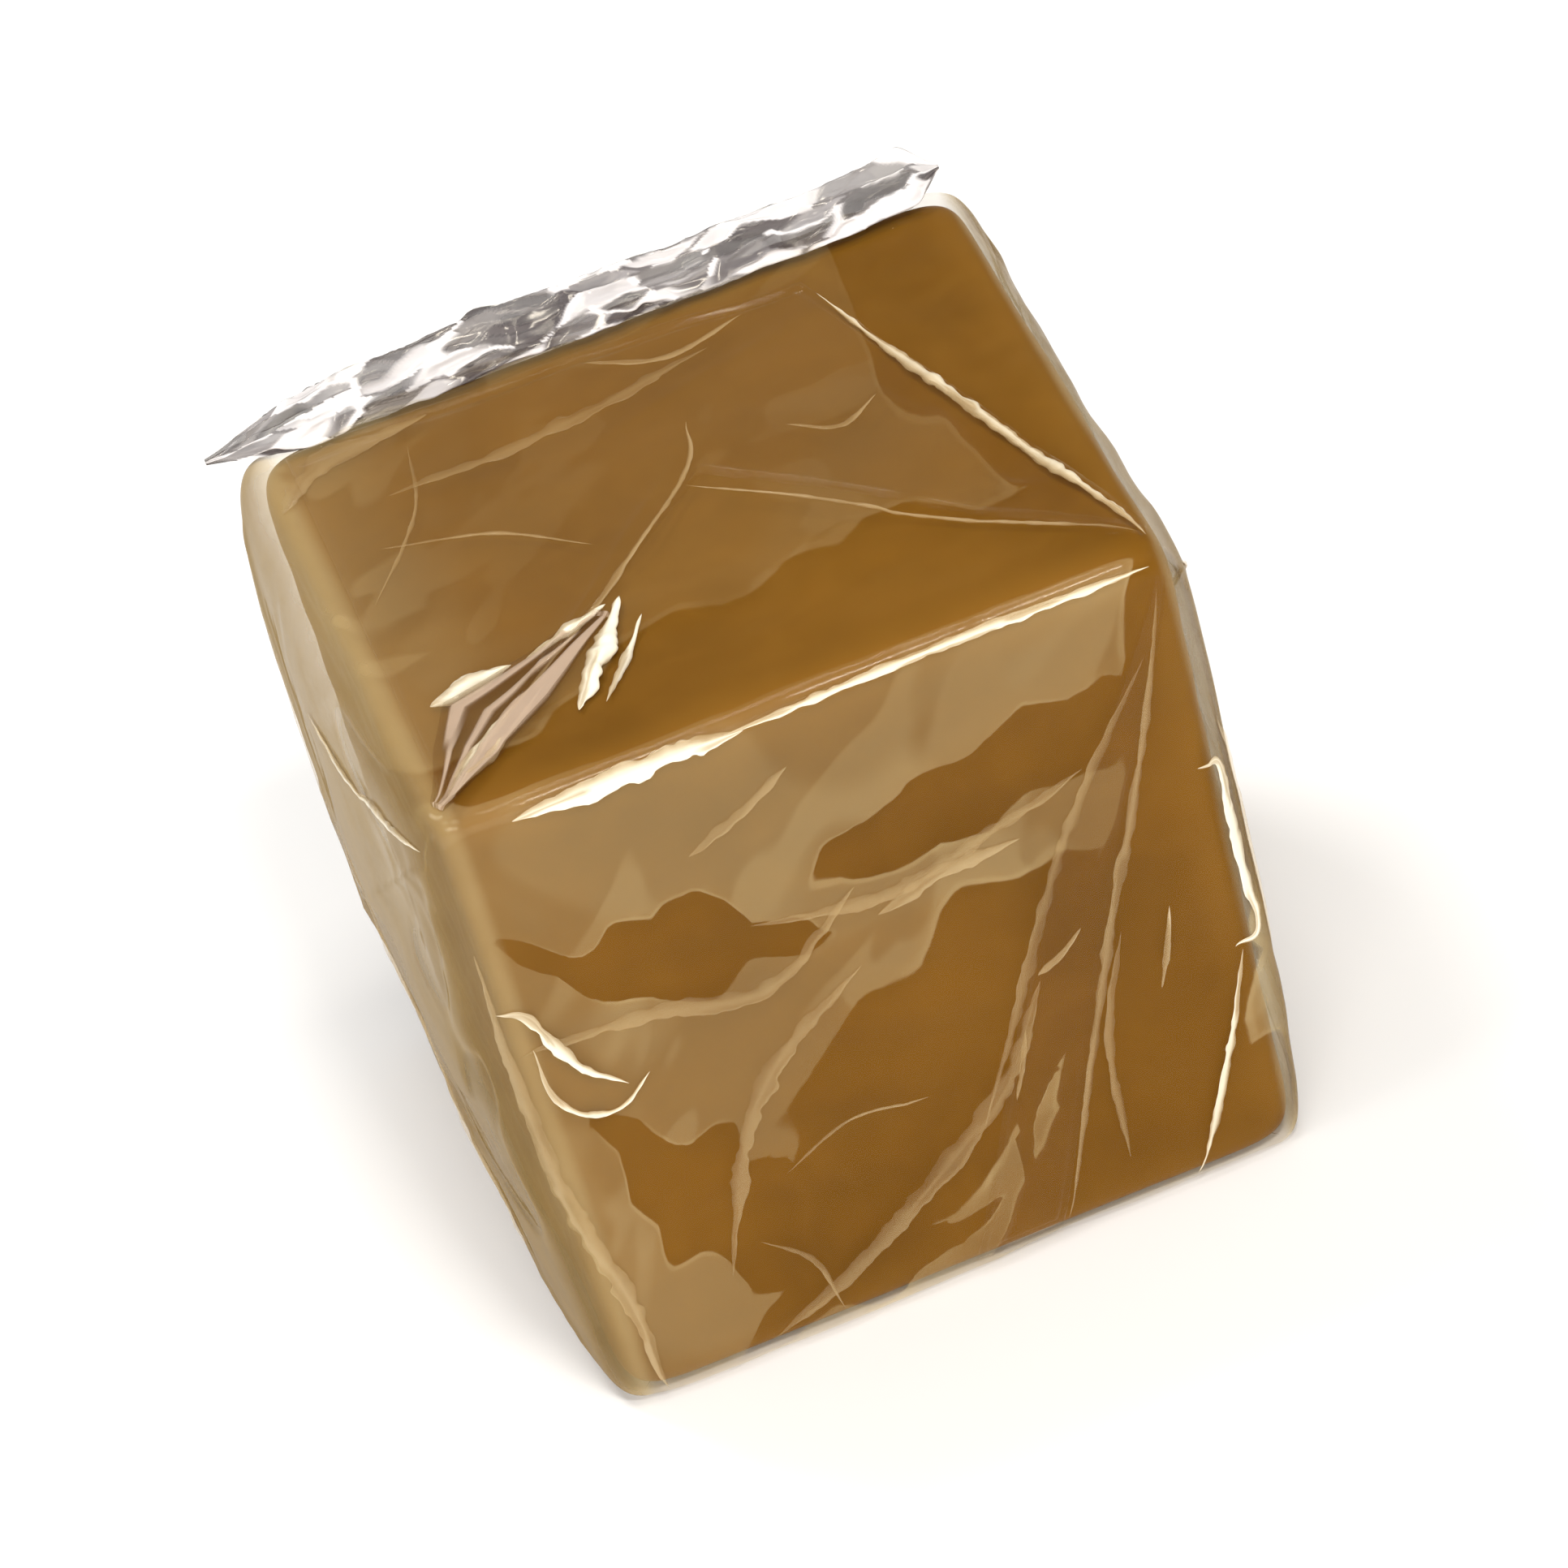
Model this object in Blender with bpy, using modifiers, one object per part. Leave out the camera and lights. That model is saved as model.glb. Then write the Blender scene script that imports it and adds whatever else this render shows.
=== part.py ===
"""Milk caramel square: a soft cut block of caramel in a clear film wrapper.

The film is one tube round the four upright sides, folded shut at the top and at the bottom.
All sizes are in metres. +Z is up, +X is the right-hand side and -Y is the front. The origin is the
middle of the underside, on the surface that the sweet rests on.
"""

import bmesh
import bpy
import numpy as np
from mathutils import Matrix

# The block of caramel
CARAMEL_WIDTH = 0.0198
CARAMEL_DEPTH = 0.0189
CARAMEL_HEIGHT = 0.0183
CARAMEL_SQUARENESS = 14.0
RIGHT_UNDERCUT = 0.0012
FRONT_UNDERCUT = 0.0004
LEAN_BACK = 0.0003
FACE_SINK = 0.00022
KNIFE_DRAG = 0.00006
KNIFE_DRAGS = 5.0
KNIFE_SLANT = 0.2

# The film, drawn thicker than the real 0.03 mm so that it is a solid
FILM_WALL = 0.0003
FILM_GAP = 0.0003
FILM_SQUARENESS = 19.0
FILM_JOIN = 0.0004
LEFT_LOOSE = 0.0009
LEFT_LOOSEST = 0.15
LEFT_LOOSE_REACH = 1.3
RIGHT_LOOSE = 0.0003
FRONT_WAVE = 0.00012
FOOT_PRESS = 0.00020

# The standing pleat of film along the top back edge
RIDGE_HEIGHT = 0.0013
RIDGE_FRONT_WIDTH = 0.0008
RIDGE_BACK_WIDTH = 0.0006
RIDGE_INSET = 0.0012
RIDGE_CRUMPLE = 0.00022
RIDGE_CRUMPLES = 11.0
RIDGE_END_LOSS = 0.6
RIDGE_EAR = 0.0007

# The folded end: the outer flap on the top, and the lap of the tube down the front
FLAP_STEP = 0.00022
FLAP_TURN = 0.0007
FLAP_BACK_END = 0.72
LAP_STEP = 0.00018
LAP_TURN = 0.0007
LAP_FOOT = 0.12

# Where a face's own relief starts and is full, as shares of the half side
LEFT_EDGE = (0.80, 1.00)
SIDE_EDGE = (0.90, 1.00)
STEP_EDGE = (0.95, 1.00)
RIDGE_EDGE = (0.80, 0.99)
RIDGE_ENDS = (0.85, 1.02)

# Mesh counts, and how much the cells crowd towards the edges, from 0 to 1
CARAMEL_CUTS = 8
SIDE_CELLS = 16
UPRIGHT_CELLS = 14
TOP_CELLS = 28
BOTTOM_CELLS = 16
CROWDING = 0.85

FILM_HALF = np.array(
    [
        CARAMEL_WIDTH / 2 + FILM_GAP + FILM_WALL,
        CARAMEL_DEPTH / 2 + FILM_GAP + FILM_WALL,
        CARAMEL_HEIGHT / 2 + FILM_GAP + FILM_WALL,
    ]
)
CARAMEL_HALF = np.array([CARAMEL_WIDTH, CARAMEL_DEPTH, CARAMEL_HEIGHT]) / 2
MIDDLE_HEIGHT = FILM_HALF[2]


def clear_scene():
    """Removes what the scene holds and the collections it is in."""
    for thing in list(bpy.data.objects):
        bpy.data.objects.remove(thing, do_unlink=True)
    for group in list(bpy.data.collections):
        bpy.data.collections.remove(group)


def material(name, colour, roughness, alpha=1.0):
    """A Principled material with one colour, roughness and see-through share."""
    made = bpy.data.materials.new(name)
    made.use_nodes = True
    shader = made.node_tree.nodes["Principled BSDF"]
    shader.inputs["Base Color"].default_value = (*colour, 1.0)
    shader.inputs["Roughness"].default_value = roughness
    shader.inputs["Metallic"].default_value = 0.0
    shader.inputs["Alpha"].default_value = alpha
    made.diffuse_color = (*colour, alpha)
    return made


def smooth_step(value, low, high):
    """0 below low, 1 above high and a smooth S between."""
    share = np.clip((value - low) / (high - low), 0.0, 1.0)
    return share * share * (3.0 - 2.0 * share)


def crowded(share):
    """A parameter from -1 to 1 with its steps crowded towards both ends, where the edges round."""
    return np.sin(share * np.pi / 2) * CROWDING + share * (1 - CROWDING)


def rounded_cube(points, squareness):
    """Points of a cube of half side 1 drawn in to a superellipsoid of that exponent."""
    power = np.abs(points) ** squareness
    return points / (power.sum(axis=1, keepdims=True) ** (1.0 / squareness))


def uneven(shares):
    """How far the cut block departs from a true one at these points, in metres.

    Its right side slopes in towards the foot, its front a little, and it leans back slightly.
    """
    x, y, z = shares.T
    foot = (1.0 - z) / 2
    shift = np.zeros_like(shares)
    shift[:, 0] = -RIGHT_UNDERCUT * foot * (x + 1) / 2
    shift[:, 1] = FRONT_UNDERCUT * foot * (1 - y) / 2 + LEAN_BACK * z
    return shift


def caramel_points(cube):
    """The block's surface: a rounded cube with sunken faces and faint drag marks on its sides."""
    shares = rounded_cube(cube, CARAMEL_SQUARENESS)
    x, y, z = shares.T
    places = shares * CARAMEL_HALF + uneven(shares)
    across_x, across_y, across_z = (1 - np.abs(shares) ** 4).clip(0.0, 1.0).T
    on_x, on_y, on_z = (np.sign(shares) * np.abs(shares) ** 8).T
    drag = KNIFE_DRAG * (1 + np.cos(KNIFE_DRAGS * np.pi * (z + KNIFE_SLANT * x)))
    places[:, 0] -= on_x * across_y * across_z * (FACE_SINK + drag)
    places[:, 1] -= on_y * across_x * across_z * (FACE_SINK + drag)
    places[:, 2] -= on_z * across_x * across_y * FACE_SINK
    places[:, 2] += MIDDLE_HEIGHT
    return places


def flap_side(shares):
    """Signed distance in metres to the flap's edge on the top, which runs from the front right corner
    back and inwards. It is positive on the flap, to the left of the edge."""
    start = np.array([1.0, -1.0]) * FILM_HALF[:2]
    end = np.array([2 * FLAP_BACK_END - 1, 1.0]) * FILM_HALF[:2]
    along = (end - start) / np.linalg.norm(end - start)
    away = shares[:, :2] * FILM_HALF[:2] - start
    return along[0] * away[:, 1] - along[1] * away[:, 0]


def lap_side(shares):
    """Signed distance in metres to the lap's edge on the front, which runs from the top right corner
    down and inwards. It is positive to the right of the edge."""
    start = np.array([1.0, 1.0]) * FILM_HALF[[0, 2]]
    end = np.array([LAP_FOOT, -1.0]) * FILM_HALF[[0, 2]]
    along = (end - start) / np.linalg.norm(end - start)
    away = shares[:, [0, 2]] * FILM_HALF[[0, 2]] - start
    return -(along[0] * away[:, 1] - along[1] * away[:, 0])


def loosen_sides(places, shares):
    """Moves the film off the left side, most above the middle, and a little off the right and front."""
    x, y, z = shares.T
    left = smooth_step(-x, *LEFT_EDGE) * (1 - y * y / 2)
    left *= np.cos((z - LEFT_LOOSEST) * np.pi / (2 * LEFT_LOOSE_REACH))
    places[:, 0] -= LEFT_LOOSE * left
    places[:, 0] += RIGHT_LOOSE * smooth_step(x, *SIDE_EDGE) * (1 - z * z)
    front = smooth_step(-y, *SIDE_EDGE) * (1 - x * x) * (1 - z * z)
    places[:, 1] -= FRONT_WAVE * front * (1 + np.sin(5.0 * x + 3.0 * z))


def lay_folds(places, shares):
    """Raises the lap down the front and the flap on the top by one step each."""
    x, y, z = shares.T
    on_front = smooth_step(-y, *STEP_EDGE) * (1 - z**6)
    places[:, 1] -= LAP_STEP * on_front * smooth_step(lap_side(shares), -LAP_TURN, 0.0)
    on_top = smooth_step(z, *STEP_EDGE) * (1 - y**6) * (1 - x**6)
    places[:, 2] += FLAP_STEP * on_top * smooth_step(flap_side(shares), -FLAP_TURN, 0.0)


def raise_ridge(places, shares):
    """Raises the crumpled pleat along the top back edge: a bell curve across, lower at its ends."""
    x, y, z = shares.T
    from_crest = y * FILM_HALF[1] - (FILM_HALF[1] - RIDGE_INSET)
    width = np.where(from_crest > 0, RIDGE_BACK_WIDTH, RIDGE_FRONT_WIDTH)
    crest = np.exp(-((from_crest / width) ** 2)) * smooth_step(z, *RIDGE_EDGE)
    run_out = crest * (1 - smooth_step(np.abs(x), *RIDGE_ENDS) * RIDGE_END_LOSS)
    crumple = RIDGE_CRUMPLE * np.sin(RIDGE_CRUMPLES * x + 1.3 * np.sin(4.0 * x))
    places[:, 2] += run_out * (RIDGE_HEIGHT + crumple)
    places[:, 1] += run_out * RIDGE_CRUMPLE * np.cos(RIDGE_CRUMPLES * 0.7 * x)
    places[:, 0] += crest * RIDGE_EAR * x**7


def film_points(cube):
    """The film's outer surface: a squarer cube than the block's, with its loose sides, its folds and
    the pleat, and pressed flat where it rests."""
    shares = rounded_cube(cube, FILM_SQUARENESS)
    places = shares * FILM_HALF + uneven(shares)
    loosen_sides(places, shares)
    lay_folds(places, shares)
    raise_ridge(places, shares)
    places[:, 2] = np.maximum(places[:, 2] + MIDDLE_HEIGHT, FOOT_PRESS)
    return places


def mesh_object(name, points, faces, group, finish):
    """An object in its group with that mesh, smooth shaded, with its material."""
    mesh = bpy.data.meshes.new(name)
    mesh.from_pydata([tuple(p) for p in points], [], [tuple(f) for f in faces])
    mesh.validate()
    made = bpy.data.objects.new(name, mesh)
    group.objects.link(made)
    mesh.materials.append(finish)
    mesh.shade_smooth()
    return made


def thicken(made, thickness):
    """Gives an open outer surface its wall, inwards, so that it is a closed shell."""
    wall = made.modifiers.new("Film wall", "SOLIDIFY")
    wall.thickness = thickness
    wall.offset = -1.0
    wall.use_even_offset = True
    wall.use_rim = True


def make_caramel(group):
    """The block: a primitive cube cut into cells and moved on to the block's surface."""
    cage = bmesh.new()
    bmesh.ops.create_cube(cage, size=2.0)
    bmesh.ops.subdivide_edges(cage, edges=cage.edges[:], cuts=CARAMEL_CUTS, use_grid_fill=True)
    cube = crowded(np.array([corner.co[:] for corner in cage.verts]))
    for corner, place in zip(cage.verts, caramel_points(cube)):
        corner.co = place
    bmesh.ops.recalc_face_normals(cage, faces=cage.faces[:])
    mesh = bpy.data.meshes.new("caramel")
    cage.to_mesh(mesh)
    cage.free()
    block = bpy.data.objects.new("caramel", mesh)
    group.objects.link(block)
    mesh.materials.append(material("caramel", (0.26, 0.12, 0.022), 0.35))
    mesh.shade_smooth()
    soften = block.modifiers.new("Soft edges", "SUBSURF")
    soften.levels = soften.render_levels = 1
    return block


def grid_faces(rows, columns, wrap=False):
    """Quads of a grid of points. With wrap, the last column meets the first."""
    across = columns if wrap else columns - 1
    faces = []
    for row in range(rows - 1):
        for column in range(across):
            after = (column + 1) % columns
            faces.append(
                (
                    row * columns + column,
                    row * columns + after,
                    (row + 1) * columns + after,
                    (row + 1) * columns + column,
                )
            )
    return faces


def make_film_sleeve(group, finish):
    """The tube of film round the four upright sides, open at its top and bottom."""
    step = crowded(np.linspace(-1.0, 1.0, SIDE_CELLS + 1)[:-1])
    ones = np.ones_like(step)
    loop = np.concatenate(
        [
            np.stack([step, -ones], axis=1),
            np.stack([ones, step], axis=1),
            np.stack([-step, ones], axis=1),
            np.stack([-ones, -step], axis=1),
        ]
    )
    rim = 1.0 - FILM_JOIN / FILM_HALF[2]
    heights = crowded(np.linspace(-1.0, 1.0, UPRIGHT_CELLS + 1)) * rim
    cube = np.array([(x, y, z) for z in heights for x, y in loop])
    faces = grid_faces(len(heights), len(loop), wrap=True)
    sleeve = mesh_object("film_sleeve", film_points(cube), faces, group, finish)
    thicken(sleeve, FILM_WALL)
    return sleeve


def make_film_end(name, cells, side, group, finish):
    """A folded end of the film, the top for side 1 and the bottom for side -1."""
    step = crowded(np.linspace(-1.0, 1.0, cells + 1))
    cube = np.array([(x * side, y, side) for y in step for x in step])
    faces = grid_faces(cells + 1, cells + 1)
    end = mesh_object(name, film_points(cube), faces, group, finish)
    thicken(end, FILM_WALL)
    return end


def centre_on_origin(group):
    """Moves every mesh so that the middle of the whole underside is the origin."""
    bpy.context.view_layer.update()
    graph = bpy.context.evaluated_depsgraph_get()
    corners = np.array(
        [corner for made in group.objects for corner in made.evaluated_get(graph).bound_box]
    )
    low, high = corners.min(axis=0), corners.max(axis=0)
    shift = Matrix.Translation((-(low[0] + high[0]) / 2, -(low[1] + high[1]) / 2, -low[2]))
    for made in group.objects:
        made.data.transform(shift)


def main():
    clear_scene()
    group = bpy.data.collections.new("milk_caramel_square")
    bpy.context.scene.collection.children.link(group)
    film = material("clear_film", (0.93, 0.90, 0.84), 0.08, alpha=0.3)
    make_caramel(group)
    make_film_sleeve(group, film)
    make_film_end("film_top_fold", TOP_CELLS, 1, group, film)
    make_film_end("film_bottom_fold", BOTTOM_CELLS, -1, group, film)
    centre_on_origin(group)


main()
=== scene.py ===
"""Dresses a milk caramel square: its soft block, and the clear film folded round it."""

import math

import bpy
import numpy as np
from mathutils import Matrix, Vector


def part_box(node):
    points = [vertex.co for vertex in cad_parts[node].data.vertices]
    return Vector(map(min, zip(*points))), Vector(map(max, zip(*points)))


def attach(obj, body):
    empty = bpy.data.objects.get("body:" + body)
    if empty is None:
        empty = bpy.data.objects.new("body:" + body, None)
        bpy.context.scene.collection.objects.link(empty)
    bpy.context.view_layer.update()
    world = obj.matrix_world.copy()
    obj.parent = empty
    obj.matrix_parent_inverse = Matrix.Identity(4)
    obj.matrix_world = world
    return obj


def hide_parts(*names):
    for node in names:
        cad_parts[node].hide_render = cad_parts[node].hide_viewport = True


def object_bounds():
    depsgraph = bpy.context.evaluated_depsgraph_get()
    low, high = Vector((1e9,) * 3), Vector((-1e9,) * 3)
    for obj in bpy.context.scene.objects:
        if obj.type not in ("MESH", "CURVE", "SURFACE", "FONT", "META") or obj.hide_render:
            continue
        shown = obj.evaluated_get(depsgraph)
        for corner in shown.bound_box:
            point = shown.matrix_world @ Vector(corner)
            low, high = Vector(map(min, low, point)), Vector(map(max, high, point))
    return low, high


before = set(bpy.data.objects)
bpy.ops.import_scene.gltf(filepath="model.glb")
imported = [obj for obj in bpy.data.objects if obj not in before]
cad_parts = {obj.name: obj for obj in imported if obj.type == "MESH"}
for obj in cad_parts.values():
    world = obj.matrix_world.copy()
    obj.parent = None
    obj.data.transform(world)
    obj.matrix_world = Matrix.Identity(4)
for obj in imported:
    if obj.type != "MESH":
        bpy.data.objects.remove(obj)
CAD_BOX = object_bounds()

bl_info = {
    "name": "Wrapped Milk Caramel",
    "version": (1, 0, 0),
    "blender": (4, 5, 0),
    "location": "View3D > Sidebar > Caramel",
    "description": "Builds a wrapped milk caramel round its frame, with its stage",
    "category": "Add Mesh",
}

BLOCK_LOW, BLOCK_HIGH = (np.array(corner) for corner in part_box("caramel"))
MM = 0.001
# Height above the floor of the film's flat foot, and of the block's that stands on it.
FILM_FOOT, BLOCK_FOOT = 0.10 * MM, 0.18 * MM


def a_number(name, description, default):
    return bpy.props.FloatProperty(name=name, description=description, default=default)


def a_length(name, description, default):
    return bpy.props.FloatProperty(
        name=name, description=description, default=default, subtype="DISTANCE", unit="LENGTH"
    )


def a_colour(name, description, default):
    return bpy.props.FloatVectorProperty(
        name=name, description=description, default=default, subtype="COLOR"
    )


class BlockSettings(bpy.types.PropertyGroup):
    """Sizes and colours of the block of caramel."""

    squareness: a_number("Squareness", "Exponent of the block's rounded edges", 19.0)
    right_undercut: a_length("Right undercut", "How far the right side slopes in at the foot", 1.2 * MM)
    front_undercut: a_length("Front undercut", "How far the front slopes in at the foot", 0.4 * MM)
    lean_back: a_length("Lean back", "How far the top leans back from the middle", 0.3 * MM)
    sink: a_length("Face sink", "How deep the middle of each face has sunk", 0.22 * MM)
    settle: a_length("Settle", "How much lower the underside is than the frame's", 0.42 * MM)
    drag: a_length("Knife drag", "Depth of the knife's drag marks on the cut sides", 0.05 * MM)
    body_colour: a_colour("Body colour", "Colour of the caramel within a face", (0.188, 0.080, 0.0046))
    thin_colour: a_colour("Edge colour", "Paler colour where light comes through", (0.25, 0.118, 0.014))


class FilmSettings(bpy.types.PropertyGroup):
    """Sizes and finish of the clear film."""

    squareness: a_number("Squareness", "Exponent of the film's rounded edges", 22.0)
    clearance: a_length("Clearance", "Air between the block and the film on a face", 0.11 * MM)
    left_loose: a_length("Left looseness", "How far the film stands off the left side", 1.2 * MM)
    wave: a_length("Waves", "Height of the broad soft waves in the stretched film", 0.13 * MM)
    crinkle: a_length("Crinkle", "Height of the sharp small creases", 0.035 * MM)
    pleat_height: a_length("Pleat height", "Height of the pleat along the top back edge", 1.05 * MM)
    gloss: a_number("Gloss", "How strongly the film mirrors, beside one plain face of it", 1.0)
    tint: a_colour("Tint", "Share of each colour that one layer lets through", (0.985, 0.975, 0.955))
    # The veil colours are painted reflection: matt colours that stand in for the film's blurred
    # reflection where air lies under it and where it stands off the block.
    milk: a_colour("Veil colour", "Colour where air lies under the film", (0.90, 0.71, 0.37))
    mirror: a_colour("Mirror colour", "Colour of what the film mirrors", (0.94, 0.88, 0.76))
    warm_painted_reflection: a_colour("Warm veil colour", "Colour of film that stands off", (0.27, 0.165, 0.045))


class StageSettings(bpy.types.PropertyGroup):
    """The view and the studio."""

    azimuth: a_number("Azimuth", "Way round from the front, in degrees", -6.0)
    elevation: a_number("Elevation", "Height above the horizon, in degrees", 35.5)
    roll: a_number("Roll", "Turn of the picture, in degrees", 18.2)
    distance: a_length("Distance", "From the camera to the middle of the sweet", 0.32)
    lens: a_number("Lens", "Focal length in millimetres", 288.0)
    floor_colour: a_colour("Floor colour", "Colour of the floor", (0.93, 0.93, 0.925))


class Value:
    """A shader value that takes part in Python sums: each sum adds its Math node."""

    def __init__(self, graph, socket):
        self.graph = graph
        self.socket = socket

    def maths(self, kind, *others, swapped=False):
        terms = (*others, self) if swapped else (self, *others)
        return self.graph.node("ShaderNodeMath", {"operation": kind}, dict(enumerate(terms)))

    def __add__(self, other):
        return self.maths("ADD", other)

    def __sub__(self, other):
        return self.maths("SUBTRACT", other)

    def __rsub__(self, other):
        return self.maths("SUBTRACT", other, swapped=True)

    def __mul__(self, other):
        return self.maths("MULTIPLY", other)

    def __pow__(self, other):
        return self.maths("POWER", other)

    __radd__ = __add__
    __rmul__ = __mul__

    def clamped(self):
        return self.maths("MAXIMUM", 0.0).maths("MINIMUM", 1.0)

    def between(self, low, high):
        """0 where the value is low or less, 1 where it is high or more."""
        return self.graph.node(
            "ShaderNodeMapRange", {"clamp": True}, {"Value": self, "From Min": low, "From Max": high}
        )


class Graph:
    """The node tree of a new material."""

    def __init__(self, name):
        self.material = bpy.data.materials.new(name)
        self.material.use_nodes = True
        self.tree = self.material.node_tree
        self.tree.nodes.clear()

    def node(self, kind, settings=None, values=None, output=0):
        """Adds a node, with its settings and the values or links of its sockets; its output's Value."""
        made = self.tree.nodes.new(kind)
        for name, setting in (settings or {}).items():
            setattr(made, name, setting)
        for name, value in (values or {}).items():
            socket = made.inputs[name]
            if isinstance(value, Value):
                self.tree.links.new(value.socket, socket)
            elif isinstance(value, (tuple, list)) and len(value) == 3 and socket.type == "RGBA":
                socket.default_value = (*value, 1.0)
            else:
                socket.default_value = value
        return Value(self, made.outputs[output])

    def place(self):
        """The piece's own coordinates, in metres."""
        return self.node("ShaderNodeTexCoord", output="Object")

    def stretched(self, turn, times):
        """The piece's coordinates, drawn out that many times along a way turned up and back from +X."""
        values = {
            "Vector": self.place(),
            "Rotation": (0.0, -math.radians(turn), math.radians(0.6 * turn)),
            "Scale": (times, 1.0, 1.0),
        }
        return self.node("ShaderNodeMapping", {"vector_type": "TEXTURE"}, values)

    def noise(self, scale, detail=3.0, roughness=0.5, where=None, distortion=0.0):
        values = {"Vector": where or self.place(), "Scale": scale, "Detail": detail}
        values |= {"Roughness": roughness, "Distortion": distortion}
        return self.node("ShaderNodeTexNoise", values=values)

    def mixed(self, share, first, second):
        """Colour between first, where share is 0, and second, where it is 1."""
        values = {0: share, 6: first, 7: second}
        return self.node("ShaderNodeMix", {"data_type": "RGBA"}, values, output=2)

    def attribute(self, name):
        return self.node("ShaderNodeAttribute", {"attribute_name": name}, output="Fac")

    def bumped(self, height, strength, distance):
        """The surface's direction, tilted by that height field."""
        values = {"Strength": strength, "Distance": distance, "Height": height}
        return self.node("ShaderNodeBump", values=values)

    def principled(self, values):
        return self.node("ShaderNodeBsdfPrincipled", values=values)

    def blended(self, share, first, second):
        """The first shader where share is 0, and the second where it is 1."""
        return self.node("ShaderNodeMixShader", values={0: share, 1: first, 2: second})

    def finish(self, shader):
        end = self.tree.nodes.new("ShaderNodeOutputMaterial")
        self.tree.links.new(shader.socket, end.inputs["Surface"])
        return self.material


def caramel_finish(settings):
    """Boiled milk caramel: golden brown and faintly see-through, with painted light making it paler at
    its edges, satin.
    """
    g = Graph("milk_caramel")
    thin = g.attribute("thin")
    cloud = g.noise(180.0, 3.0, 0.55).between(0.35, 0.7)
    streak = g.noise(520.0, 2.0, 0.5, distortion=0.8).between(0.45, 0.75)
    deep = tuple(0.80 * part for part in settings.body_colour)
    body = g.mixed(cloud, deep, tuple(settings.body_colour))
    body = g.mixed(streak * 0.18, body, tuple(settings.thin_colour))
    # Painted light: the paler edge colour, where the "thin" share is high, stands in for light coming
    # through the caramel's edges.
    colour = g.mixed((thin * 0.85 + cloud * 0.08).clamped(), body, tuple(settings.thin_colour))
    fine = g.noise(1400.0, 2.0, 0.5)
    shader = g.principled(
        {
            "Base Color": colour,
            "Roughness": (fine * 0.12 + cloud * 0.08 + 0.30).clamped(),
            "Normal": g.bumped(fine * 0.5 + cloud * 1.5, 0.2, 0.03 * MM),
            "IOR": 1.48,
            "Specular IOR Level": 0.07,
            "Subsurface Weight": 0.35,
            "Subsurface Radius": (1.0, 0.55, 0.22),
            "Subsurface Scale": 1.3 * MM,
        }
    )
    return g.finish(shader)


def air_painted_reflection(g):
    """Share of painted reflection from the piece's "air": none where it is under a half, and crisp tones
    above.

    The tones are painted reflection: a plain one, light ones in streaks and in broad patches, and a light
    rim beside some of the edges. All are fainter where the piece's painted veil strength is under 1.
    """
    # Painted reflection: every tone here is a lighter veil that stands in for reflected light.
    field = g.attribute("air") + (g.noise(260.0, 4.0, 0.6, distortion=0.4) - 0.5) * 0.20
    gap = field.between(0.485, 0.515)
    rim = field.between(0.50, 0.52) - field.between(0.56, 0.60)
    rim = rim * g.noise(120.0, 2.0, 0.5).between(0.48, 0.54)
    swirl = g.noise(300.0, 2.0, 0.45, g.stretched(48.0, 4.5), 0.5).between(0.54, 0.57)
    broad = g.noise(125.0, 2.0, 0.45, distortion=1.0).between(0.50, 0.56)
    return gap * ((swirl * 0.30 + broad * 0.22 + rim * 0.35).clamped() + 0.48) * g.attribute("painted_veil_strength")


def film_finish(name, settings, gloss, haze, veil, roughness, slanted=0.9, shade=None, pale=None):
    """Clear film: what is behind shows, under a mirror that strengthens at a slant and a painted
    reflection.

    gloss scales the mirror, whose share is slanted at a full slant. haze is the share of milky colour
    everywhere, and veil the share added where the piece's "air" or its painted sheen share is high: there
    air lies under the film, or the film is crumpled up. The milky colour is painted reflection, a matt
    colour that stands in for the film's blurred reflection. Where the piece is "loose", that film is
    milky only at a slant. The milk goes from shade to pale with the piece's "pale".
    """
    g = Graph(name)
    ripple = g.noise(900.0, 3.0, 0.5)
    bump = g.bumped(ripple, 0.25, 0.02 * MM)
    slant = g.node("ShaderNodeLayerWeight", {}, {"Blend": 0.5, "Normal": bump}, output=1)
    fresnel = slant**5.0 * slanted + 0.006
    clear = g.node("ShaderNodeBsdfTransparent", {}, {"Color": tuple(settings.tint)})
    # Painted reflection: a matt milky colour, from shade to pale, stands in for the film's blurred
    # reflection.
    shade, pale = shade or tuple(settings.warm_painted_reflection), pale or tuple(settings.milk)
    milk = g.mixed(g.attribute("pale"), shade, pale)
    matt = {"Roughness": 1.0, "Specular IOR Level": 0.0}
    milky = g.principled({"Base Color": milk, "Normal": bump, **matt})
    uneven_gloss = (ripple * 0.05 + roughness).clamped()
    mirror = g.principled(
        {"Base Color": tuple(settings.mirror), "Metallic": 1.0, "Roughness": uneven_gloss, "Normal": bump}
    )
    cloud = g.noise(300.0, 3.0, 0.6).between(0.35, 0.75)
    deep = 1 - g.attribute("loose") * (1 - slant.between(0.15, 0.85))
    bunched_painted_sheen = (ripple * 0.3 + 0.85) * g.attribute("bunched_painted_sheen") * deep
    painted_reflection_share = (cloud * 0.6 + 0.4) * haze + (air_painted_reflection(g) + bunched_painted_sheen) * veil
    veiled = g.blended(painted_reflection_share.clamped(), clear, milky)
    return g.finish(g.blended((fresnel * gloss).clamped(), veiled, mirror))


def floor_finish(colour):
    """A plain pale matt floor."""
    g = Graph("pale_floor")
    grain = g.noise(60.0, 2.0, 0.5)
    darker = tuple(0.985 * part for part in colour)
    return g.finish(g.principled({"Base Color": g.mixed(grain, darker, tuple(colour)), "Roughness": 0.7}))


def smooth_step(value, low, high):
    """0 below low, 1 above high and a smooth S between."""
    share = np.clip((value - low) / (high - low), 0.0, 1.0)
    return share * share * (3.0 - 2.0 * share)


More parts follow.
